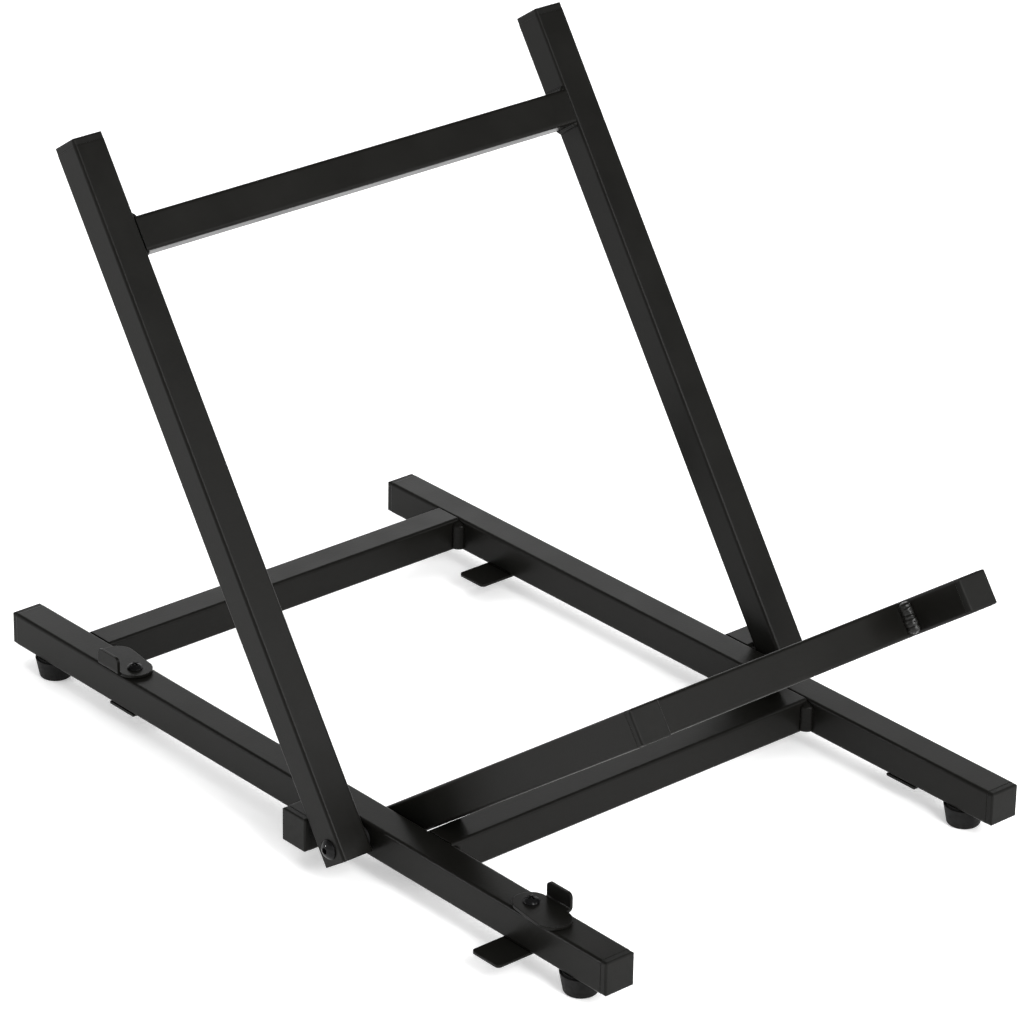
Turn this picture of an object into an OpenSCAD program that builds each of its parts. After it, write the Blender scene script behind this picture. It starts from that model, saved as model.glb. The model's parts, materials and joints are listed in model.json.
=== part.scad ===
// Folding amp stand of square steel tube, in millimetres.
// +X is the right side, +Y the back and +Z up. The origin is on the floor, at
// the middle of the base. The stand is drawn open, as it holds an amplifier.

/* [Square tube] */
// Outside width of every tube
tube_w = 20; // [18:0.5:25]
// Wall of the tube
tube_wall = 1.5; // [1:0.1:2]
// Outside radius of the tube's corners
tube_r = 1.8; // [1.7:0.1:4]

/* [Base] */
// Width over the two side rails
base_w = 300; // [240:1:420]
// Front end of a rail to the front crossbar
front_overhang = 144; // [130:1:200]
// Rear crossbar to the rear end of a rail
rear_overhang = 47.5; // [40:0.5:90]
// Gap between the folded arms and the rear crossbar
fold_clear = 20.5; // [8:0.5:60]
// How far the stops reach out past the uprights
stop_proud = 1.5; // [0:0.5:8]

/* [Back frame] */
// Angle of the uprights back from the vertical
lean = 34; // [25:0.5:45]
// Pivot to the top end of an upright
upright_len = 401; // [340:1:480]
// Top end of an upright to the top of its crossbar
back_bar_inset = 49; // [20:0.5:80]

/* [Ledge] */
// Angle of the ledge arms up from the horizontal
lift = 35.7; // [25:0.1:45]
// Pivot to the front end of an arm
arm_len = 230; // [200:1:260]
// Front end of an arm to the front of the ledge crossbar
ledge_bar_inset = 48; // [20:0.5:90]

/* [Pivot] */
// Spacer between a rail and the frame beside it
spacer_t = 3; // [2.5:0.1:5]
// Outside diameter of a spacer
spacer_d = 13; // [11:0.5:18]
// Diameter of the pivot bolts
pivot_d = 6; // [5:0.5:8]
// Radial clearance of the bolts and latch screws in what turns on them
pivot_clear = 0.08; // [0.02:0.01:0.1]
// Head of a pivot bolt, across
pivot_head_d = 11.5; // [10:0.5:14]
// Height of that head
pivot_head_h = 3.3; // [2.5:0.1:5]
// Pivot to the lower end of an upright or arm
tail = 9; // [8:0.5:14]
// Gap left where a frame rests on its stop
stop_clear = 0.3; // [0.2:0.1:1]

/* [Rest plates] */
// Width of a rest plate, along the rail
plate_w = 21.5; // [18:0.5:36]
// Thickness of a rest plate
plate_t = 1.5; // [1.2:0.1:4]
// Radius of its free corners
plate_r = 2.5; // [1:0.1:8]
// How far a plate ends short of the far side of the tube it carries
plate_short = 1.5; // [0:0.5:6]
// End of a folded arm to the middle of the rear plates
rear_rest_inset = 16; // [13:0.5:40]
// Front end of a rail to the middle of the front plates
front_rest_inset = 69; // [62:0.5:80]

/* [Swivel latches] */
// How far the tab stands out over the side of the rail
latch_overhang = 1.8; // [0.5:0.1:2]
// Gap between the nose's other side and the frame that folds past it
nose_clear = 0.5; // [0.3:0.1:1.5]
// How far a closed latch reaches over the folded tube
latch_cover = 17; // [8:0.5:22]
// Thickness of the latch plate
latch_t = 1.7; // [1.5:0.1:3]
// Radius of the round hub about the screw
latch_hub_r = 10; // [9.5:0.1:11]
// Width that is left beside the tab, past its end
latch_nose_w = 18.1; // [17.5:0.1:18.5]
// Radius of the nose's outer corner
nose_outer_r = 10; // [4:0.5:10]
// Radius of the nose's corner on the tab's side
nose_r = 6.5; // [2:0.5:7]
// Height of the finger tab over the plate
tab_h = 9; // [6:0.5:14]
// Pivot to the near end of the tab
tab_start = 0.5; // [0:0.5:3]
// Length of the tab
tab_len = 18.5; // [12:0.5:19]
// Radius of the tab's upper corners
tab_r = 3; // [1:0.5:5]
// Inside radius of the bend
bend_r = 1; // [0.5:0.1:1.5]
// Washer under a latch
latch_washer_t = 0.4; // [0.3:0.1:1.5]
// Diameter of that washer
latch_washer_d = 14; // [12:0.5:18]
// Diameter of the latch screws
latch_screw_d = 5; // [4:0.5:6]
// Head of a latch screw, across
latch_head_d = 9; // [8:0.1:11]
// Height of that head
latch_head_h = 3; // [2.2:0.1:4]

/* [Feet] */
// Height of a rubber foot
foot_h = 13; // [12:0.5:30]
// Widest diameter of a foot, near its top
foot_top_d = 23; // [19.5:0.5:26]
// Diameter of a foot at the floor
foot_floor_d = 19; // [15:0.5:22]
// Front end of a rail to the middle of its foot
front_foot_inset = 29.5; // [27:0.5:40]
// Rear end of a rail to the middle of its foot
rear_foot_inset = 27.5; // [26:0.5:30]
// Diameter of the foot screws
foot_screw_d = 4; // [3:0.5:5]

/* [End caps] */
// Thickness of the cap's flange
cap_flange = 4; // [2.5:0.1:5]
// How far the flange lies in from the tube's faces
cap_inset = 0.1; // [0.05:0.05:0.8]
// Rounding of the flange's outer edge
cap_edge_r = 1.2; // [0.5:0.1:2.4]
// Length of the plug inside the tube
cap_plug = 10; // [6:0.5:14]
// Clearance of the plug's fins in the tube
cap_clear = 0.1; // [0.05:0.05:0.3]

/* [Welds] */
// Leg of the fillet welds of the base
base_weld_leg = 4.5; // [2.5:0.1:6]
// Leg of the fillet welds at the back crossbar
back_weld_leg = 2.4; // [2:0.1:6]
// Leg of the fillet welds at the ledge crossbar
ledge_weld_leg = 5.5; // [2.5:0.1:6]
// Leg of the fillet welds along the rest plates
plate_weld_leg = 1.8; // [1:0.1:3]

/* [Hidden] */
$fn = 48;
half = tube_w / 2;
tube_in = tube_w - 2 * tube_wall;
tube_in_r = max(tube_r - tube_wall, 0.2);
eps = 0.01;

// Heights
rail_z = foot_h;
rail_top = rail_z + tube_w;
pivot_z = rail_z + half;

// The arms' undersides rest on the rear top edge of the front crossbar, and
// the uprights' rear faces on the front top edge of the stops. A face at a
// given angle touches a tube's rounded corner at this distance from the pivot.
corner_h = half - tube_r;
reach = half + tube_r + stop_clear;
bar_to_pivot = (reach + corner_h * cos(lift)) / sin(lift) - tube_r;
pivot_to_stop = (reach + corner_h * sin(lean)) / cos(lean) - tube_r;

// Places along the rails, from the front end at front_y
rail_len = front_overhang + tube_w + bar_to_pivot + arm_len + fold_clear
  + tube_w + rear_overhang;
front_y = -rail_len / 2;
rear_y = rail_len / 2;
front_bar_y = front_y + front_overhang;
rear_bar_y = rear_y - rear_overhang - tube_w;
pivot_y = front_bar_y + tube_w + bar_to_pivot;
stop_y = pivot_y + pivot_to_stop;
front_rest_y = front_y + front_rest_inset;
rear_rest_y = pivot_y + arm_len - rear_rest_inset;
front_foot_y = front_y + front_foot_inset;
rear_foot_y = rear_y - rear_foot_inset;

// Places across the stand, on the right side
rail_out = base_w / 2;
rail_mid = rail_out - half;
rail_in = rail_out - tube_w;
upright_in = rail_out + spacer_t;
upright_out = upright_in + tube_w;
arm_out = rail_in - spacer_t;
arm_in = arm_out - tube_w;
stop_len = spacer_t + tube_w + stop_proud;

// Pivot hardware
hole_r = pivot_d / 2 + pivot_clear;
hex_across_flats = 0.6 * pivot_d;
washer_t = 1.2;
washer_d = 2.1 * pivot_d;
nut_h = 0.95 * pivot_d;
nut_flats = 1.65 * pivot_d;
bolt_past_nut = 1.5;

// Latch hardware
latch_r = half + latch_overhang;
latch_reach = half + spacer_t + latch_cover;
nose_out = half + spacer_t - nose_clear;
nose_in = latch_nose_w - nose_out;
latch_hole_r = latch_screw_d / 2 + pivot_clear;
latch_z = rail_top + latch_washer_t;
latch_nut_h = 0.95 * latch_screw_d;
latch_nut_flats = 1.6 * latch_screw_d;

// Foot
foot_neck_h = 1;
foot_neck_r = foot_top_d / 2 - 1.6;
foot_edge_r = 1.8;
foot_screw_head_d = 2 * foot_screw_d;
foot_screw_head_h = 0.65 * foot_screw_d;
foot_recess_r = foot_screw_head_d / 2 + 0.7;
foot_recess_h = 5;
foot_screw_in = 8;

// Cap
fin_t = 0.9;
plug_w = tube_in - 1.2;
plug_wall = 1.3;

coat = [0.05, 0.05, 0.052];
coat_light = [0.075, 0.075, 0.078];
plastic = [0.07, 0.07, 0.072];
rubber = [0.03, 0.03, 0.03];
black_steel = [0.12, 0.12, 0.125];
nylon = [0.1, 0.1, 0.1];

// ---------- shared shapes ----------

// A square with round corners, made of true arcs.
module rounded_square(w, r) {
  square([w, w - 2 * r], center = true);
  square([w - 2 * r, w], center = true);
  for (x = [-1, 1], y = [-1, 1])
    translate([x * (w / 2 - r), y * (w / 2 - r)]) circle(r);
}

// Square tube along +Z from the origin.
module tube(len) {
  linear_extrude(len) difference() {
    rounded_square(tube_w, tube_r);
    rounded_square(tube_in, tube_in_r);
  }
}

// Square tube along +X and along +Y, from the origin.
module tube_x(len) rotate([0, 90, 0]) tube(len);
module tube_y(len) rotate([-90, 0, 0]) tube(len);

// A hole along X, right through a tube at the origin.
module cross_hole() {
  translate([-half - 1, 0, 0]) rotate([0, 90, 0]) cylinder(r = hole_r, h = tube_w + 2);
}

module both_sides() for (side = [-1, 1]) scale_x(side) children();
module scale_x(side) mirror([side < 0 ? 1 : 0, 0, 0]) children();

// The frames' own frames: pivot at the origin, uprights along +Z, arms along -Y.
module back_pose() translate([0, pivot_y, pivot_z]) rotate([-lean, 0, 0]) children();
module ledge_pose() translate([0, pivot_y, pivot_z]) rotate([-lift, 0, 0]) children();

// Plastic end cap on a tube end at the origin, facing +Z.
module end_cap() {
  flange_w = tube_w - 2 * cap_inset;
  color(plastic) {
    intersection() {
      linear_extrude(cap_flange) rounded_square(flange_w, tube_r);
      for_side(0) pillow(flange_w);
      for_side(90) pillow(flange_w);
    }
    difference() {
      translate([0, 0, -cap_plug]) linear_extrude(cap_plug) rounded_square(plug_w, tube_in_r);
      translate([0, 0, -cap_plug - 1])
        linear_extrude(cap_plug) rounded_square(plug_w - 2 * plug_wall, tube_in_r);
    }
    for (i = [1:3]) translate([0, 0, -cap_plug * i / 3.4])
      linear_extrude(fin_t) difference() {
        rounded_square(tube_in - 2 * cap_clear, tube_in_r);
        square(plug_w - plug_wall, center = true);
      }
  }
}
module for_side(a) rotate([0, 0, a]) children();
// Bar whose two upper edges are round, long enough to cover a flange.
module pillow(w) {
  rotate([90, 0, 0]) linear_extrude(2 * tube_w, center = true) {
    translate([-w / 2, 0]) square([w, cap_flange - cap_edge_r]);
    translate([-w / 2 + cap_edge_r, 0]) square([w - 2 * cap_edge_r, cap_flange]);
    for (x = [-1, 1])
      translate([x * (w / 2 - cap_edge_r), cap_flange - cap_edge_r]) circle(cap_edge_r);
  }
}

// Convex fillet weld along Z in the corner between the planes x = 0 and y = 0,
// on the side where x and y are negative.
module bead(leg, len) {
  intersection() {
    union() {
      translate([0, 0, -len / 2 + leg]) cylinder(r = leg, h = len - 2 * leg);
      for (z = [-1, 1]) translate([0, 0, z * (len / 2 - leg)]) sphere(leg);
    }
    translate([-2 * leg, -2 * leg, -len / 2]) cube([2 * leg, 2 * leg, len]);
  }
}

// Hexagonal lock nut facing +Z: the prism, and the round collar over its insert.
module lock_nut(flats, h, bore) {
  difference() {
    union() {
      cylinder(d = flats / cos(30), h = 0.72 * h, $fn = 6);
      cylinder(d = 0.92 * flats, h = h);
    }
    translate([0, 0, -1]) cylinder(d = bore, h = h + 2);
  }
}

// Low round head facing +Z, its rim straight for the first part of its height.
module button_head(d, h) {
  dome_h = 0.8 * h;
  dome_r = (d * d / 4 + dome_h * dome_h) / (2 * dome_h);
  intersection() {
    translate([0, 0, h - dome_r]) sphere(dome_r, $fn = 96);
    cylinder(d = d, h = h);
  }
}

// ---------- base ----------

module rail(side) {
  tube_len = rail_len - 2 * cap_flange;
  color(coat) difference() {
    translate([side * rail_mid, front_y + cap_flange, rail_z + half]) tube_y(tube_len);
    translate([side * rail_mid, pivot_y, pivot_z]) cross_hole();
    if (side < 0) for (y = [front_rest_y, rear_rest_y])
      translate([-rail_mid, y, rail_z - 1]) cylinder(r = latch_hole_r, h = tube_w + 2);
    for (y = [front_foot_y, rear_foot_y])
      translate([side * rail_mid, y, rail_z - 1]) cylinder(d = foot_screw_d, h = tube_wall + 2);
  }
}
module left_rail() rail(-1);
module right_rail() rail(1);

module base_crossbar(y) {
  color(coat) translate([-rail_in, y + half, rail_z + half]) tube_x(2 * rail_in);
}
module front_crossbar() base_crossbar(front_bar_y);
module rear_crossbar() base_crossbar(rear_bar_y);

// Short tube on the outside of a rail, which the upright leans on.
module stop(side) {
  color(coat) scale_x(side)
    translate([rail_out, stop_y + half, rail_z + half]) tube_x(stop_len - cap_flange);
}
module left_stop() stop(-1);
module right_stop() stop(1);

module frame_welds() {
  weld_z = rail_z + half - 0.5;
  weld_len = tube_w - 1.6;
  color(coat_light) both_sides() {
    for (y = [front_bar_y, rear_bar_y])
      translate([rail_in, y, weld_z]) bead(base_weld_leg, weld_len);
    translate([rail_in, rear_bar_y + tube_w, weld_z])
      mirror([0, 1, 0]) bead(base_weld_leg, weld_len);
    translate([rail_out, stop_y + tube_w, weld_z])
      rotate([0, 0, 180]) bead(base_weld_leg, weld_len);
  }
}

// Flat tongue under a rail. It carries a folded frame beside the rail.
module rest_plate(side, y, way) {
  len = tube_w + spacer_t + tube_w - plate_short;
  bored = side < 0;
  color(coat) scale_x(side) translate([rail_mid, y, rail_z - plate_t])
    scale_x(way) difference() {
      linear_extrude(plate_t) translate([-half, -plate_w / 2]) {
        square([len - plate_r, plate_w]);
        translate([0, plate_r]) square([len, plate_w - 2 * plate_r]);
        for (c = [plate_r, plate_w - plate_r]) translate([len - plate_r, c]) circle(plate_r);
      }
      if (bored) translate([0, 0, -1]) cylinder(r = latch_hole_r, h = plate_t + 2);
    }
}
module rest_plate_front_left() rest_plate(-1, front_rest_y, 1);
module rest_plate_front_right() rest_plate(1, front_rest_y, 1);
module rest_plate_rear_left() rest_plate(-1, rear_rest_y, -1);
module rest_plate_rear_right() rest_plate(1, rear_rest_y, -1);

module plate_welds() {
  run = tube_w - 2 * tube_r - 1;
  color(coat_light) both_sides() for (y = [front_rest_y, rear_rest_y])
    translate([rail_mid, y, rail_z]) for (side = [0, 180])
      rotate([0, 0, side]) translate([0, -plate_w / 2, 0]) rotate([0, 90, 0])
        mirror([1, 0, 0]) bead(min(plate_weld_leg, plate_t), run);
}

module rail_end_caps() {
  both_sides() {
    translate([rail_mid, front_y + cap_flange, rail_z + half]) rotate([90, 0, 0]) end_cap();
    translate([rail_mid, rear_y - cap_flange, rail_z + half]) rotate([-90, 0, 0]) end_cap();
  }
}

module stop_caps() {
  both_sides() translate([rail_out + stop_len - cap_flange, stop_y + half, rail_z + half])
    rotate([0, 90, 0]) end_cap();
}

// ---------- feet ----------

// Tapered rubber foot with a neck at the top and a round edge at the floor.
module rubber_foot(side, y) {
  top_r = foot_top_d / 2;
  floor_r = foot_floor_d / 2;
  body_h = foot_h - foot_neck_h;
  color(rubber) translate([side * rail_mid, y, 0]) difference() {
    rotate_extrude() {
      polygon([[0, 0], [floor_r - foot_edge_r, 0], [floor_r, foot_edge_r],
        [top_r, body_h], [foot_neck_r, body_h], [foot_neck_r, foot_h], [0, foot_h]]);
      intersection() {
        translate([floor_r - foot_edge_r, foot_edge_r]) circle(foot_edge_r);
        square([floor_r, foot_edge_r]);
      }
    }
    translate([0, 0, -1]) cylinder(d = foot_screw_d, h = foot_h + 2);
    translate([0, 0, -1]) cylinder(r = foot_recess_r, h = foot_recess_h + 1);
  }
}
module foot_front_left() rubber_foot(-1, front_foot_y);
module foot_front_right() rubber_foot(1, front_foot_y);
module foot_rear_left() rubber_foot(-1, rear_foot_y);
module foot_rear_right() rubber_foot(1, rear_foot_y);

module foot_screws() {
  color(black_steel) both_sides() for (y = [front_foot_y, rear_foot_y])
    translate([rail_mid, y, foot_recess_h]) difference() {
      union() {
        cylinder(d = foot_screw_d, h = foot_h - foot_recess_h + foot_screw_in);
        mirror([0, 0, 1]) button_head(foot_screw_head_d, foot_screw_head_h);
      }
      cross_recess(foot_screw_head_d, -foot_screw_head_h, -1);
    }
}

// Cross-shaped driver recess, cut into a head whose top is at z.
module cross_recess(head_d, z, way) {
  arm = 0.56 * head_d;
  thick = 0.14 * head_d;
  deep = 0.2 * head_d;
  for (a = [0, 90]) translate([0, 0, z - way * deep / 2 + way * 0.5])
    rotate([0, 0, a]) cube([arm, thick, deep + 1], center = true);
}

// ---------- pivot ----------

module pivot_bolts() {
  shank = upright_out - arm_in + washer_t + nut_h + bolt_past_nut;
  color(black_steel) both_sides() translate([upright_out, pivot_y, pivot_z]) rotate([0, 90, 0])
    difference() {
      union() {
        translate([0, 0, -shank]) cylinder(d = pivot_d, h = shank);
        button_head(pivot_head_d, pivot_head_h);
      }
      translate([0, 0, 0.35 * pivot_head_h])
        cylinder(d = hex_across_flats / cos(30), h = pivot_head_h, $fn = 6);
    }
}

module ring(d, bore_r, t) {
  difference() {
    cylinder(d = d, h = t);
    translate([0, 0, -1]) cylinder(r = bore_r, h = t + 2);
  }
}

module spacers(x) {
  color(nylon) both_sides() translate([x, pivot_y, pivot_z])
    rotate([0, 90, 0]) ring(spacer_d, hole_r, spacer_t);
}
module upright_spacers() spacers(rail_out);
module arm_spacers() spacers(arm_out);

module pivot_washers() {
  color(black_steel) both_sides() translate([arm_in - washer_t, pivot_y, pivot_z])
    rotate([0, 90, 0]) ring(washer_d, hole_r, washer_t);
}

module pivot_nuts() {
  color(black_steel) both_sides() translate([arm_in - washer_t, pivot_y, pivot_z])
    rotate([0, -90, 0]) lock_nut(nut_flats, nut_h, pivot_d);
}

// ---------- back frame ----------

module upright(side) {
  color(coat) back_pose() translate([side * (upright_in + half), 0, 0]) difference() {
    translate([0, 0, -tail]) tube(upright_len - cap_flange + tail);
    cross_hole();
  }
}
module left_upright() upright(-1);
module right_upright() upright(1);

back_bar_top = upright_len - back_bar_inset;
module back_crossbar() {
  color(coat) back_pose() translate([-upright_in, 0, back_bar_top - half]) tube_x(2 * upright_in);
}

module back_welds() {
  run = tube_w - 1.6;
  color(coat_light) back_pose() both_sides() {
    translate([upright_in, 0, back_bar_top]) rotate([90, 0, 0])
      mirror([0, 1, 0]) bead(back_weld_leg, run);
    translate([upright_in, 0, back_bar_top - tube_w]) rotate([90, 0, 0]) bead(back_weld_leg, run);
  }
}

module upright_caps() {
  back_pose() both_sides()
    translate([upright_in + half, 0, upright_len - cap_flange]) end_cap();
}

// ---------- ledge frame ----------

module ledge_arm(side) {
  color(coat) ledge_pose() translate([side * (arm_in + half), 0, 0]) difference() {
    translate([0, -arm_len + cap_flange, 0]) tube_y(arm_len - cap_flange + tail);
    cross_hole();
  }
}
module left_ledge_arm() ledge_arm(-1);
module right_ledge_arm() ledge_arm(1);

ledge_bar_y = -arm_len + ledge_bar_inset;
module ledge_crossbar() {
  color(coat) ledge_pose() translate([-arm_in, ledge_bar_y + half, 0]) tube_x(2 * arm_in);
}

module ledge_welds() {
  run = tube_w - 1.6;
  color(coat_light) ledge_pose() both_sides() {
    translate([arm_in, ledge_bar_y, 0]) bead(ledge_weld_leg, run);
    translate([arm_in, ledge_bar_y + tube_w, 0]) mirror([0, 1, 0]) bead(ledge_weld_leg, run);
  }
}

module arm_caps() {
  ledge_pose() both_sides()
    translate([arm_in + half, -arm_len + cap_flange, 0]) rotate([90, 0, 0]) end_cap();
}

// ---------- swivel latches ----------

// Latch about its screw: the plate reaches along -Y, and the tab stands on +X.
module latch() {
  difference() {
    linear_extrude(latch_t) latch_outline();
    translate([0, 0, -1]) cylinder(r = latch_hole_r, h = latch_t + 2);
    tab_edge_cut();
  }
  tab();
}

// The plate seen from above: a round hub, a side that slants out to the nose,
// set in a hair so that it crosses both its circles, and the nose with its two
// round corners.
module latch_outline() {
  outer = [nose_outer_r - nose_out, nose_outer_r - latch_reach];
  inner = [nose_in - nose_r, nose_r - latch_reach];
  slant = atan2(outer[1], outer[0]) - acos((latch_hub_r - nose_outer_r) / norm(outer));
  side = [cos(slant), sin(slant)];
  set_in = 0.01;
  tab_end = -tab_start - tab_len;
  circle(latch_hub_r);
  translate(outer) circle(nose_outer_r);
  translate(inner) circle(nose_r);
  polygon([(latch_hub_r - set_in) * side, outer + (nose_outer_r - set_in) * side, outer,
    [outer[0], -latch_reach],
    [inner[0], -latch_reach], inner, [nose_in, inner[1]], [nose_in, tab_end],
    [latch_r, tab_end], [latch_r, -tab_start], [0, 0]]);
}

// Clears the plate's square edge where the tab's bend replaces it.
module tab_edge_cut() {
  bend_out = bend_r + latch_t;
  translate([latch_r - bend_out, -tab_start - tab_len, -1])
    cube([bend_out + 1, tab_len, latch_t + 2]);
}

module tab() {
  bend_out = bend_r + latch_t;
  full_h = tab_h + latch_t;
  intersection() {
    translate([latch_r - bend_out, -tab_start, 0]) rotate([90, 0, 0]) linear_extrude(tab_len) {
      difference() {
        intersection() {
          translate([0, bend_out]) circle(bend_out);
          square([bend_out, bend_out]);
        }
        translate([0, bend_out]) circle(bend_r);
      }
      translate([bend_r, bend_out]) square([latch_t, full_h - bend_out]);
    }
    translate([latch_r - 2 * bend_out, 0, 0]) rotate([0, 90, 0]) linear_extrude(3 * bend_out)
      tab_outline(full_h);
  }
}

// The tab seen from its flat side, with round upper corners.
module tab_outline(full_h) {
  mirror([1, 0]) translate([0, -tab_start - tab_len]) {
    translate([-1, 0]) square([full_h + 1 - tab_r, tab_len]);
    translate([-1, tab_r]) square([full_h + 1, tab_len - 2 * tab_r]);
    for (y = [tab_r, tab_len - tab_r]) translate([full_h - tab_r, y]) circle(tab_r);
  }
}

module front_latch() {
  color(coat) translate([-rail_mid, front_rest_y, latch_z]) latch();
}
module rear_latch() {
  color(coat) translate([-rail_mid, rear_rest_y, latch_z]) rotate([0, 0, 180]) latch();
}

module at_latches() for (y = [front_rest_y, rear_rest_y]) translate([-rail_mid, y, 0]) children();

module latch_washers() {
  color(nylon) at_latches() translate([0, 0, rail_top])
    ring(latch_washer_d, latch_hole_r, latch_washer_t);
}

module latch_screws() {
  head_z = latch_z + latch_t;
  below = rail_z - plate_t - latch_nut_h - 1;
  color(black_steel) at_latches() difference() {
    union() {
      translate([0, 0, below]) cylinder(d = latch_screw_d, h = head_z - below);
      translate([0, 0, head_z]) button_head(latch_head_d, latch_head_h);
    }
    cross_recess(latch_head_d, head_z + latch_head_h, 1);
  }
}

module latch_nuts() {
  color(black_steel) at_latches() translate([0, 0, rail_z - plate_t]) mirror([0, 0, 1])
    lock_nut(latch_nut_flats, latch_nut_h, latch_screw_d);
}

left_rail();
right_rail();
front_crossbar();
rear_crossbar();
left_stop();
right_stop();
frame_welds();
plate_welds();
rest_plate_front_left();
rest_plate_front_right();
rest_plate_rear_left();
rest_plate_rear_right();
rail_end_caps();
stop_caps();
foot_front_left();
foot_front_right();
foot_rear_left();
foot_rear_right();
foot_screws();
pivot_bolts();
upright_spacers();
arm_spacers();
pivot_washers();
pivot_nuts();
latch_screws();
latch_washers();
latch_nuts();
left_upright();
right_upright();
back_crossbar();
back_welds();
upright_caps();
left_ledge_arm();
right_ledge_arm();
ledge_crossbar();
ledge_welds();
arm_caps();
rear_latch();
front_latch();
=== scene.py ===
# %% [markdown]
# # A folding amplifier stand, finished in Blender
#
# The stand is a low frame of square steel tube, coated in satin black. A back
# frame and a ledge frame turn on two bolts and hold an amplifier tilted back.
# All the steel, the plugs, the feet and the screws come ready from the packed
# CAD model. What is left for Blender is what a CAD kernel is poor at: the
# finish of each surface, the ripples of the weld beads, and the studio.

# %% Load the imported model
import json
import math

import bpy
from mathutils import Euler, Matrix, Vector


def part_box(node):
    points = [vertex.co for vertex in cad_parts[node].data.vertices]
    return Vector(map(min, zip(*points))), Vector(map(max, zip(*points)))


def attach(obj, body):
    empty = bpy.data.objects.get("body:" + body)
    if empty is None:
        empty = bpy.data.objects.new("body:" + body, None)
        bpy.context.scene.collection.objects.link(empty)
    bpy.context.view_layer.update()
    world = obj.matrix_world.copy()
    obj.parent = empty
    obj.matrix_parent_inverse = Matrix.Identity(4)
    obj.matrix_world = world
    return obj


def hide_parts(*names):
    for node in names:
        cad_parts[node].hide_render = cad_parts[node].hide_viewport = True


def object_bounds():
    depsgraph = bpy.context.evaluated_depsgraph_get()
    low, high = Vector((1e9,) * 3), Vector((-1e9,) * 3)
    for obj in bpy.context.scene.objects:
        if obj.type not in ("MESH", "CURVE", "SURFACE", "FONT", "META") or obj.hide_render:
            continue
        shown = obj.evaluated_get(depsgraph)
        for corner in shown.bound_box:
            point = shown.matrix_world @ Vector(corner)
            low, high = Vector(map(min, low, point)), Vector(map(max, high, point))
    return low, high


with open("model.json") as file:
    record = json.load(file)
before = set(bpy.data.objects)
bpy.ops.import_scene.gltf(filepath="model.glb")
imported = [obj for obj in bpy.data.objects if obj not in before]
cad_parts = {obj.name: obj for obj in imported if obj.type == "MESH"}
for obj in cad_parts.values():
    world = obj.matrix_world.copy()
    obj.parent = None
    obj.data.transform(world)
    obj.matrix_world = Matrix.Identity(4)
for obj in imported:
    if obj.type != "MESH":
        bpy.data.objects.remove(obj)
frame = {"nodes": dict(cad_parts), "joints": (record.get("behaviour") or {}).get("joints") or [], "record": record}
cad_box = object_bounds()
MM = 0.001
box_in_mm = [[round(v / MM, 1) for v in corner] for corner in cad_box]
print("nodes:", len(frame["nodes"]), "box in mm:", box_in_mm)

# %% [markdown]
# ## Sizes taken from the frame
#
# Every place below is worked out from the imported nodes, so nothing here has to
# be fitted by eye. The rails, crossbars and hinge give the tube's width, the
# corners where welds lie, and the line that both frames turn about.

# %% Measure what the later cells need
rail_low, rail_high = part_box("right_rail")
tube_w = rail_high.x - rail_low.x
hinge = Vector(next(j["pos_m"] for j in frame["joints"] if j["name"] == "back_frame_fold"))
print("tube width in mm:", round(tube_w / MM, 2), "hinge line:", [round(v, 4) for v in hinge])

# %% [markdown]
# ## Camera
#
# The photograph was taken from the front left with a long lens, so parallel
# tubes stay nearly parallel. Three angles aim the camera: the heading about
# the vertical, the tilt from straight down, and a slight roll of the hand.

# %% Set the camera
CAMERA_PLACE = Vector((-1.6254, -1.8595, 1.3257))
CAMERA_HEADING = math.radians(-41.274)
CAMERA_TILT = math.radians(64.477)
CAMERA_ROLL = math.radians(0.928)
CAMERA_LENS = 175.27
CAMERA_REACH = 30
SENSOR_WIDTH = 36.0


def turn(angle, axis):
    return Matrix.Rotation(angle, 4, axis)


def add_camera():
    camera = bpy.data.cameras.new("camera")
    camera.lens = CAMERA_LENS
    camera.sensor_width = SENSOR_WIDTH
    camera.clip_end = CAMERA_REACH
    holder = bpy.data.objects.new("camera", camera)
    aim = turn(CAMERA_HEADING, "Z") @ turn(CAMERA_TILT, "X") @ turn(CAMERA_ROLL, "Z")
    holder.matrix_world = Matrix.Translation(CAMERA_PLACE) @ aim
    bpy.context.scene.collection.objects.link(holder)
    bpy.context.scene.camera = holder


add_camera()
print("camera is", round((CAMERA_PLACE - hinge).length, 2), "m from the hinge")

# %% [markdown]
# ## Building materials with nodes
#
# Each finish is a small node tree around one Principled shader. Short helpers
# add a node, start a material, and link a finished set of values to the
# shader. Every pattern reads Object coordinates,
# which here are metres in the stand's own frame, so a scale of 1000 gives a
# grain of about a millimetre.

# %% Helpers for node trees
NOISE_LOW, NOISE_HIGH = 0.3, 0.7
EDGE_SAMPLES = 6


def add_node(tree, kind, **inputs):
    node = tree.nodes.new(kind)
    for name, value in inputs.items():
        node.inputs[name.replace("_", " ")].default_value = value
    return node


def new_material(name):
    material = bpy.data.materials.new(name)
    material.use_nodes = True
    tree = material.node_tree
    return material, tree, tree.nodes["Principled BSDF"]


def grain(tree, scale, detail=2.0):
    place = tree.nodes.new("ShaderNodeTexCoord")
    noise = add_node(tree, "ShaderNodeTexNoise", Scale=scale, Detail=detail)
    tree.links.new(place.outputs["Object"], noise.inputs["Vector"])
    return noise.outputs["Fac"]


def spread(tree, value, low, high):
    ramp = add_node(tree, "ShaderNodeMapRange", From_Min=NOISE_LOW, From_Max=NOISE_HIGH,
                    To_Min=low, To_Max=high)
    tree.links.new(value, ramp.inputs["Value"])
    return ramp.outputs["Result"]


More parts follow.
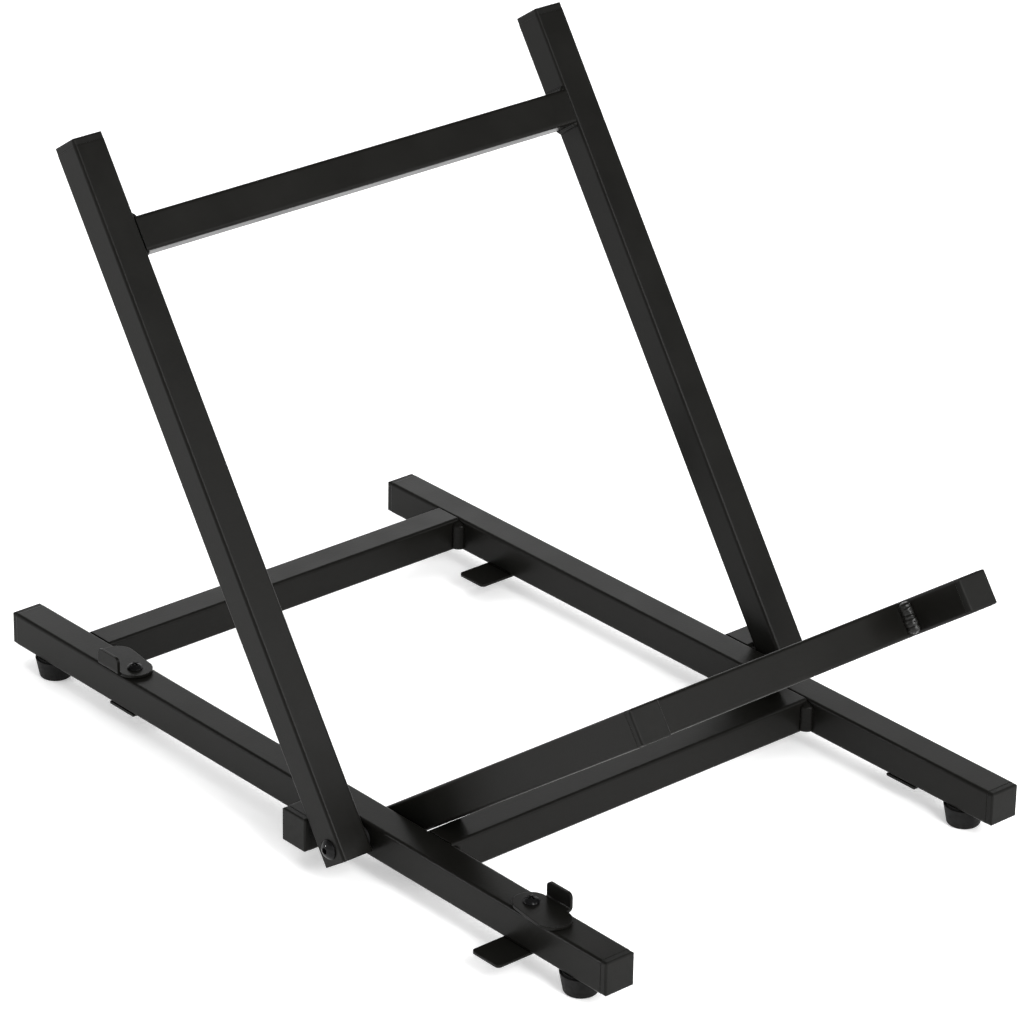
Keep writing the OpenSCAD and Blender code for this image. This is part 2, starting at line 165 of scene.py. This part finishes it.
def tint(tree, value, dark, light):
    mix = tree.nodes.new("ShaderNodeMix")
    mix.data_type = "RGBA"
    mix.inputs["A"].default_value = (*dark, 1)
    mix.inputs["B"].default_value = (*light, 1)
    tree.links.new(value, mix.inputs["Factor"])
    return mix.outputs["Result"]


def relief(tree, height, depth, normal=None):
    bump = add_node(tree, "ShaderNodeBump", Distance=depth)
    tree.links.new(height, bump.inputs["Height"])
    if normal:
        tree.links.new(normal, bump.inputs["Normal"])
    return bump.outputs["Normal"]


def soft_edges(tree, radius):
    bevel = tree.nodes.new("ShaderNodeBevel")
    bevel.samples = EDGE_SAMPLES
    bevel.inputs["Radius"].default_value = radius
    return bevel.outputs["Normal"]


def set_finish(tree, shader, specular, color, roughness, normal=None):
    shader.inputs["Specular IOR Level"].default_value = specular
    tree.links.new(color, shader.inputs["Base Color"])
    tree.links.new(roughness, shader.inputs["Roughness"])
    if normal:
        tree.links.new(normal, shader.inputs["Normal"])


# %% [markdown]
# ## Powder coat
#
# The steel is sprayed with powder and baked, which leaves a satin black skin
# with a faint orange peel. Two noises make it: a fine one for the peel, and a
# broad one that shifts the colour and roughness a little from place to place,
# as a real coat does. Its edges are round because the powder melts and draws
# back there. Over the ledge frame's thick welds the same coat lies on rough
# metal, so there it is lumpier, and the lumps catch more light.

# %% Make the powder coat
def powder_coat():
    material, tree, shader = new_material("black_powder_coat")
    peel = grain(tree, scale=900, detail=3.0)
    cloud = grain(tree, scale=35, detail=4.0)
    set_finish(tree, shader, specular=0.085,
               color=tint(tree, cloud, dark=(0.0036, 0.0035, 0.0030), light=(0.0062, 0.0060, 0.0052)),
               roughness=spread(tree, cloud, 0.29, 0.37),
               normal=relief(tree, peel, 0.03 * MM, soft_edges(tree, 0.6 * MM)))
    return material


def weld_coat():
    material, tree, shader = new_material("coat_over_weld")
    lumps = grain(tree, scale=750, detail=2.0)
    set_finish(tree, shader, specular=0.22,
               color=tint(tree, lumps, dark=(0.0036, 0.0035, 0.0030), light=(0.0085, 0.0082, 0.0072)),
               roughness=spread(tree, lumps, 0.20, 0.34),
               normal=relief(tree, lumps, 0.1 * MM))
    return material


coat = powder_coat()
coat_over_weld = weld_coat()

# %% [markdown]
# ## Plastic, rubber, nylon and fasteners
#
# The plugs are moulded plastic with a fine matte grain. The feet are rubber,
# duller and a little dusty. The screws and bolts are the glossiest things on
# the stand, and their plating is uneven on a scale of a few millimetres.

# %% Make the other finishes
def moulded_plastic():
    material, tree, shader = new_material("black_plastic")
    set_finish(tree, shader, specular=0.085,
               color=tint(tree, grain(tree, scale=60, detail=3.0),
                          dark=(0.0045, 0.0045, 0.0040), light=(0.0072, 0.0071, 0.0064)),
               roughness=spread(tree, grain(tree, scale=300), 0.36, 0.46),
               normal=relief(tree, grain(tree, scale=2500), 0.03 * MM, soft_edges(tree, 0.3 * MM)))
    return material


def foot_rubber():
    material, tree, shader = new_material("black_rubber")
    set_finish(tree, shader, specular=0.12,
               color=tint(tree, grain(tree, scale=90, detail=5.0),
                          dark=(0.005, 0.005, 0.005), light=(0.009, 0.0087, 0.0084)),
               roughness=spread(tree, grain(tree, scale=500, detail=3.0), 0.55, 0.75),
               normal=relief(tree, grain(tree, scale=1800, detail=3.0), 0.05 * MM))
    return material


def plated_fastener():
    material, tree, shader = new_material("black_fastener")
    set_finish(tree, shader, specular=0.13,
               color=tint(tree, grain(tree, scale=250, detail=3.0),
                          dark=(0.003, 0.003, 0.003), light=(0.006, 0.006, 0.0062)),
               roughness=spread(tree, grain(tree, scale=400, detail=3.0), 0.11, 0.2),
               normal=relief(tree, grain(tree, scale=1500), 0.02 * MM, soft_edges(tree, 0.3 * MM)))
    return material


def smooth_nylon():
    material, tree, shader = new_material("black_nylon")
    set_finish(tree, shader, specular=0.15,
               color=tint(tree, grain(tree, scale=120),
                          dark=(0.010, 0.010, 0.010), light=(0.015, 0.015, 0.015)),
               roughness=spread(tree, grain(tree, scale=200), 0.35, 0.45))
    return material


finishes = {
    "black_powder_coat": coat,
    "black_plastic": moulded_plastic(),
    "black_rubber": foot_rubber(),
    "black_fastener": plated_fastener(),
    "black_nylon": smooth_nylon(),
}
print("finishes:", sorted(finishes))

# %% [markdown]
# ## Dressing the CAD nodes
#
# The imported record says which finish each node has. The nodes keep their
# meshes and their places, and only their material slots change.

# %% Give every CAD node its finish
for part in frame["record"]["subparts"]:
    slots = frame["nodes"][part["node"]].data.materials
    slots.clear()
    slots.append(finishes[part["material_slot"]])

# %% [markdown]
# ## Weld beads
#
# A bead of weld lies in each inner corner where two tubes meet. It is a
# convex fillet with a ripple for every step that the torch took, and the coat
# rounds it further. A bead follows a path and its ripples repeat, so Geometry
# Nodes make it: the path is a line in the corner, and the profile is a
# quarter circle with its tip in the corner. The profile swells and shrinks
# along the path, and dies away at both ends, and the finished surface is
# pushed in and out a little, because hand-laid weld is never even.
#
# The paths come first. Each one is a middle point, a direction, a length, the
# way out of the corner, and the leg of the fillet.

# %% List the corners that are welded
BASE_LEG = 5.2 * MM
BACK_LEG = 2.4 * MM
LEDGE_LEG = 5.5 * MM
PLATE_LEG = 1.5 * MM
WELD_RUN = tube_w - 1.6 * MM
BASE_RUN = tube_w - 1.8 * MM
PLATE_RUN = tube_w - 4.6 * MM
BEAD_DROP = 0.9 * MM


def mount_axis(name):
    return Vector(next(m["axis"] for m in frame["record"]["mounts"] if m["name"] == name))


def middle(node):
    low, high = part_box(node)
    return (low + high) / 2


def crossbar_corners(node, along, across, leg):
    bar = middle(node)
    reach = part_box(node)[1].x
    corners = []
    for side in (-1, 1):
        for way in (-1, 1):
            spot = Vector((side * reach, bar.y, bar.z)) + way * tube_w / 2 * along
            corners.append((spot, across, WELD_RUN, Vector((-side, 0, 0)) + way * along, leg))
    return corners


def base_corners():
    front, rear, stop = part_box("front_crossbar"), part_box("rear_crossbar"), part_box("right_stop")
    level = middle("right_rail").z - BEAD_DROP
    corners = []
    for side in (-1, 1):
        for x, y, way in ((front[1].x, front[0].y, (-side, -1, 0)),
                          (rear[1].x, rear[0].y, (-side, -1, 0)),
                          (rear[1].x, rear[1].y, (-side, 1, 0)),
                          (stop[0].x, stop[1].y, (side, 1, 0))):
            spot = Vector((side * x, y, level))
            corners.append((spot, Vector((0, 0, 1)), BASE_RUN, Vector(way), BASE_LEG))
        for node in ("rest_plate_front_right", "rest_plate_rear_right"):
            low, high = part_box(node)
            for y, way in ((low.y, -1), (high.y, 1)):
                spot = Vector((side * middle("right_rail").x, y, high.z))
                corners.append((spot, Vector((1, 0, 0)), PLATE_RUN, Vector((0, way, -1)), PLATE_LEG))
    return corners


back_out = mount_axis("amp_back_rest")
ledge_out = mount_axis("amp_ledge_rest")
up_the_back = back_out.cross(Vector((1, 0, 0)))
along_arm = ledge_out.cross(Vector((1, 0, 0)))
weld_corners = {
    "base": base_corners(),
    "back_frame": crossbar_corners("back_crossbar", up_the_back, back_out, BACK_LEG),
    "ledge_frame": crossbar_corners("ledge_crossbar", along_arm, ledge_out, LEDGE_LEG),
}
print("welds:", {body: len(corners) for body, corners in weld_corners.items()})

# %% [markdown]
# ### The tree that turns a path into a bead
#
# A path arrives as a line of two points, which carry the fillet's leg and the
# way out of the corner. The tree cuts the line into short steps and works out,
# from how far along it each step lies, how thick the bead is there. The
# profile starts as a quarter circle, and its bulge is pressed flatter, while
# its tip and its two toes stay on the walls.

# %% Build the bead tree
LUMP_SCALE = 650.0
WANDER_SCALE = 420.0
SWAY_PER_DEPTH = 4.0
THINNEST_END = 0.15
PROFILE_POINTS = 10


def math_node(tree, operation, *values):
    node = tree.nodes.new("ShaderNodeMath")
    node.operation = operation
    for socket, value in zip(node.inputs, values):
        if isinstance(value, (int, float)):
            socket.default_value = value
        else:
            tree.links.new(value, socket)
    return node.outputs[0]


def stored(tree, kind, name):
    node = tree.nodes.new("GeometryNodeInputNamedAttribute")
    node.data_type = kind
    node.inputs["Name"].default_value = name
    return node.outputs["Attribute"]


def tree_with_sizes(name, sizes):
    tree = bpy.data.node_groups.new(name, "GeometryNodeTree")
    face = tree.interface
    face.new_socket("Geometry", in_out="INPUT", socket_type="NodeSocketGeometry")
    face.new_socket("Geometry", in_out="OUTPUT", socket_type="NodeSocketGeometry")
    for label, value in sizes.items():
        face.new_socket(label, in_out="INPUT", socket_type="NodeSocketFloat").default_value = value
    face.new_socket("Finish", in_out="INPUT", socket_type="NodeSocketMaterial")
    return tree, tree.nodes.new("NodeGroupInput"), tree.nodes.new("NodeGroupOutput")


def lump_offset(tree, height):
    noise = add_node(tree, "ShaderNodeTexNoise", Scale=LUMP_SCALE, Detail=2.0).outputs["Fac"]
    swell = math_node(tree, "MULTIPLY", math_node(tree, "SUBTRACT", noise, 0.5), height)
    push = tree.nodes.new("ShaderNodeVectorMath")
    push.operation = "SCALE"
    tree.links.new(tree.nodes.new("GeometryNodeInputNormal").outputs[0], push.inputs[0])
    tree.links.new(swell, push.inputs["Scale"])
    return push.outputs[0]


def flatter_profile(tree, wedge, flatness):
    split = tree.nodes.new("ShaderNodeSeparateXYZ")
    tree.links.new(tree.nodes.new("GeometryNodeInputPosition").outputs[0], split.inputs[0])
    out = split.outputs["X"]
    bulge = math_node(tree, "SUBTRACT", 0.5, math_node(tree, "MULTIPLY", out, out))
    press = math_node(tree, "MULTIPLY", math_node(tree, "MULTIPLY", out, bulge), flatness)
    shift = tree.nodes.new("ShaderNodeCombineXYZ")
    pressed = tree.nodes.new("GeometryNodeSetPosition")
    tree.links.new(press, shift.inputs["X"])
    tree.links.new(wedge, pressed.inputs["Geometry"])
    tree.links.new(shift.outputs[0], pressed.inputs["Offset"])
    return pressed.outputs[0]


def bead_tree():
    sizes = {"Step": 0.2 * MM, "Pitch": 2.2 * MM, "Depth": 0.06, "End": 1.2 * MM,
             "Lump": 1.3 * MM, "Flatness": 0.0}
    tree, given, result = tree_with_sizes("weld_bead", sizes)
    link = tree.links.new
    path = tree.nodes.new("GeometryNodeMeshToCurve")
    cut = tree.nodes.new("GeometryNodeResampleCurve")
    cut.mode = "LENGTH"
    facing = tree.nodes.new("GeometryNodeSetCurveNormal")
    facing.mode = "FREE"
    thick = tree.nodes.new("GeometryNodeSetCurveRadius")
    link(given.outputs["Geometry"], path.inputs[0])
    link(path.outputs[0], cut.inputs["Curve"])
    link(given.outputs["Step"], cut.inputs["Length"])
    link(cut.outputs[0], facing.inputs["Curve"])
    link(stored(tree, "FLOAT_VECTOR", "outward"), facing.inputs["Normal"])
    link(facing.outputs[0], thick.inputs["Curve"])
    leg = stored(tree, "FLOAT", "leg")
    place = tree.nodes.new("GeometryNodeSplineParameter").outputs["Length"]
    whole = tree.nodes.new("GeometryNodeSplineLength").outputs["Length"]
    to_end = math_node(tree, "MINIMUM", place, math_node(tree, "SUBTRACT", whole, place))
    fade = math_node(tree, "MINIMUM", math_node(tree, "DIVIDE", to_end, given.outputs["End"]), 1.0)
    gap = math_node(tree, "SUBTRACT", 1.0, fade)
    rest = math_node(tree, "SUBTRACT", 1.0, math_node(tree, "MULTIPLY", gap, gap))
    dome = math_node(tree, "SQRT", rest)
    half_turns = math_node(tree, "MULTIPLY", place, math.pi)
    turns = math_node(tree, "DIVIDE", half_turns, given.outputs["Pitch"])
    crest = math_node(tree, "ABSOLUTE", math_node(tree, "SINE", turns))
    valley = math_node(tree, "SUBTRACT", 1.0, crest)
    dip = math_node(tree, "MULTIPLY", valley, given.outputs["Depth"])
    ripple = math_node(tree, "SUBTRACT", 1.0, dip)
    wander = add_node(tree, "ShaderNodeTexNoise", Scale=WANDER_SCALE, Detail=2.0).outputs["Fac"]
    sway = math_node(tree, "MULTIPLY", given.outputs["Depth"], SWAY_PER_DEPTH)
    uneven = math_node(tree, "MULTIPLY_ADD", math_node(tree, "SUBTRACT", wander, 0.5), sway, 1.0)
    size = math_node(tree, "MULTIPLY", math_node(tree, "MULTIPLY", leg, ripple), uneven)
    size = math_node(tree, "MULTIPLY", size, math_node(tree, "MAXIMUM", dome, THINNEST_END))
    link(size, thick.inputs["Radius"])
    wedge = tree.nodes.new("GeometryNodeCurveArc")
    for label, value in (("Resolution", PROFILE_POINTS), ("Radius", 1.0), ("Start Angle", -math.pi / 4),
                         ("Sweep Angle", math.pi / 2), ("Connect Center", True)):
        wedge.inputs[label].default_value = value
    solid = tree.nodes.new("GeometryNodeCurveToMesh")
    solid.inputs["Fill Caps"].default_value = True
    link(thick.outputs[0], solid.inputs["Curve"])
    profile = flatter_profile(tree, wedge.outputs["Curve"], given.outputs["Flatness"])
    link(profile, solid.inputs["Profile Curve"])
    link(tree.nodes.new("GeometryNodeInputRadius").outputs[0], solid.inputs["Scale"])
    lumpy = tree.nodes.new("GeometryNodeSetPosition")
    link(solid.outputs[0], lumpy.inputs["Geometry"])
    link(lump_offset(tree, given.outputs["Lump"]), lumpy.inputs["Offset"])
    whole_piece = tree.nodes.new("GeometryNodeRealizeInstances")
    finish = tree.nodes.new("GeometryNodeSetMaterial")
    link(lumpy.outputs[0], whole_piece.inputs[0])
    link(whole_piece.outputs[0], finish.inputs["Geometry"])
    link(given.outputs["Finish"], finish.inputs["Material"])
    link(finish.outputs[0], result.inputs[0])
    return tree


bead = bead_tree()
print("bead tree has", len(bead.nodes), "nodes")

# %% [markdown]
# ### Beads for each body
#
# The modifier's result is turned into a plain mesh, one for each body that
# moves, so that a frame takes its own welds along when it folds.

# %% Run the tree and keep plain meshes
def path_object(name, corners):
    ends, legs, ways = [], [], []
    for spot, along, run, way, leg in corners:
        for end in (-0.5, 0.5):
            ends.append(spot + end * run * along.normalized())
            legs.append(leg)
            ways.extend(way.normalized())
    mesh = bpy.data.meshes.new(name)
    mesh.from_pydata(ends, [(i, i + 1) for i in range(0, len(ends), 2)], [])
    mesh.attributes.new("leg", "FLOAT", "POINT").data.foreach_set("value", legs)
    mesh.attributes.new("outward", "FLOAT_VECTOR", "POINT").data.foreach_set("vector", ways)
    holder = bpy.data.objects.new(name, mesh)
    bpy.context.scene.collection.objects.link(holder)
    return holder


def run_tree(holder, tree, **inputs):
    modifier = holder.modifiers.new("tree", "NODES")
    modifier.node_group = tree
    for item in tree.interface.items_tree:
        if item.in_out == "INPUT" and item.name in inputs:
            modifier[item.identifier] = inputs[item.name]
    seen = holder.evaluated_get(bpy.context.evaluated_depsgraph_get())
    made = bpy.data.meshes.new_from_object(seen)
    holder.modifiers.clear()
    holder.data = made
    return holder


replaced = {
    "base": ("frame_welds", "plate_welds"),
    "back_frame": ("back_welds",),
    "ledge_frame": ("ledge_welds",),
}
bead_looks = {
    "base": {"Depth": 0.015, "End": 2.6 * MM, "Lump": 0.15 * MM, "Flatness": 0.15,
             "Finish": coat},
    "back_frame": {"Depth": 0.02, "End": 1.2 * MM, "Lump": 0.1 * MM, "Flatness": 0.3,
                   "Finish": coat},
    "ledge_frame": {"Depth": 0.04, "End": 2.6 * MM, "Lump": 1.4 * MM, "Flatness": 0.05,
                    "Finish": coat_over_weld},
}
for body, corners in weld_corners.items():
    beads = run_tree(path_object(body + "_weld_beads", corners), bead, **bead_looks[body])
    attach(beads, body)
    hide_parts(*replaced[body])
    print(beads.name, "has", len(beads.data.polygons), "faces")

# %% [markdown]
# ## Studio
#
# The stand was photographed on a white sweep. The floor is a pale disc that
# takes the stand's shadow. It glows a little, for the camera and in reflections
# only, so that both show it plain white around the shadow without more light
# on the stand. The world is white to the camera.
#
# In reflections the sweep is white near the horizon and falls off above, where
# a studio is dark, which gives the tubes' top faces their pale sheen.
#
# Five soft lamps stand round it. The front softbox lights the front faces, the
# edge strip draws the bright line along the uprights' front edges, the back
# softbox stands where the top faces mirror it to the camera, and the small
# side lamp is the spark in the pivot bolt's head. The overhead lamp fills in
# from above and shows in no reflection.

# %% Floor, world and lamps
FLOOR_RADIUS = 6.0
FLOOR_COLOR = (0.9, 0.9, 0.9, 1)
FLOOR_ROUGHNESS = 0.9
FLOOR_GLOW = 0.32
WORLD_LIGHT = 0.85
SWEEP_TOP = 0.40
SWEEP_BLEND = 0.16
SWEEP_DARK = 0.12
LAMP_DISTANCE = 2.5


def seen_directly(tree, kinds):
    path = tree.nodes.new("ShaderNodeLightPath")
    value = path.outputs[kinds[0]]
    for kind in kinds[1:]:
        value = math_node(tree, "MAXIMUM", value, path.outputs[kind])
    return value


def white_floor():
    material, tree, shader = new_material("white_floor")
    shader.inputs["Base Color"].default_value = FLOOR_COLOR
    shader.inputs["Roughness"].default_value = FLOOR_ROUGHNESS
    shader.inputs["Specular IOR Level"].default_value = 0.0
    glow = add_node(tree, "ShaderNodeEmission", Color=(1, 1, 1, 1))
    shown = seen_directly(tree, ["Is Camera Ray", "Is Glossy Ray", "Is Transmission Ray"])
    tree.links.new(math_node(tree, "MULTIPLY", shown, FLOOR_GLOW), glow.inputs["Strength"])
    lit = tree.nodes.new("ShaderNodeAddShader")
    tree.links.new(shader.outputs["BSDF"], lit.inputs[0])
    tree.links.new(glow.outputs["Emission"], lit.inputs[1])
    tree.links.new(lit.outputs["Shader"], tree.nodes["Material Output"].inputs["Surface"])
    bpy.ops.mesh.primitive_circle_add(vertices=96, radius=FLOOR_RADIUS, fill_type="NGON")
    floor = bpy.context.object
    floor.name = "floor"
    floor.data.materials.append(material)


def studio_world():
    world = bpy.data.worlds.new("studio")
    world.use_nodes = True
    tree = world.node_tree
    light = tree.nodes["Background"]
    light.inputs["Color"].default_value = (1, 1, 1, 1)
    light.inputs["Strength"].default_value = WORLD_LIGHT
    white = add_node(tree, "ShaderNodeBackground", Color=(1, 1, 1, 1), Strength=1.0)
    direction = tree.nodes.new("ShaderNodeTexCoord").outputs["Generated"]
    split = tree.nodes.new("ShaderNodeSeparateXYZ")
    tree.links.new(direction, split.inputs["Vector"])
    fall = add_node(tree, "ShaderNodeMapRange", From_Min=SWEEP_TOP, From_Max=SWEEP_TOP + SWEEP_BLEND,
                    To_Min=1.0, To_Max=SWEEP_DARK)
    tree.links.new(split.outputs["Z"], fall.inputs["Value"])
    sweep = add_node(tree, "ShaderNodeBackground", Color=(1, 1, 1, 1))
    tree.links.new(fall.outputs["Result"], sweep.inputs["Strength"])
    mirrored = tree.nodes.new("ShaderNodeMixShader")
    tree.links.new(seen_directly(tree, ["Is Glossy Ray", "Is Transmission Ray"]), mirrored.inputs[0])
    tree.links.new(light.outputs["Background"], mirrored.inputs[1])
    tree.links.new(sweep.outputs["Background"], mirrored.inputs[2])
    mix = tree.nodes.new("ShaderNodeMixShader")
    tree.links.new(seen_directly(tree, ["Is Camera Ray"]), mix.inputs[0])
    tree.links.new(mirrored.outputs["Shader"], mix.inputs[1])
    tree.links.new(white.outputs["Background"], mix.inputs[2])
    tree.links.new(mix.outputs["Shader"], tree.nodes["World Output"].inputs["Surface"])
    bpy.context.scene.world = world


def soft_lamp(name, bearing, height, width, tall, power, mirrored=True):
    """A softbox aimed at the stand: bearing from +X and height over the floor in degrees."""
    lamp = bpy.data.lights.new(name, "AREA")
    lamp.shape = "RECTANGLE"
    lamp.size = width
    lamp.size_y = tall
    lamp.energy = power
    holder = bpy.data.objects.new(name, lamp)
    aim = Vector((1, 0, 0))
    aim.rotate(Euler((0, -math.radians(height), math.radians(bearing))))
    holder.location = aim * LAMP_DISTANCE
    holder.rotation_euler = aim.to_track_quat("Z", "Y").to_euler()
    holder.visible_glossy = mirrored
    bpy.context.scene.collection.objects.link(holder)


white_floor()
studio_world()
soft_lamp("overhead", bearing=38, height=62, width=1.5, tall=1.5, power=14, mirrored=False)
soft_lamp("front_softbox", bearing=-69, height=27, width=1.34, tall=1.06, power=24)
soft_lamp("edge_strip", bearing=-100, height=34, width=0.7, tall=1.4, power=46)
soft_lamp("back_softbox", bearing=49, height=20, width=2.4, tall=0.6, power=8)
soft_lamp("small_side_lamp", bearing=146, height=9, width=0.24, tall=0.2, power=13)
bpy.context.scene.view_settings.view_transform = "Standard"
print("studio ready")
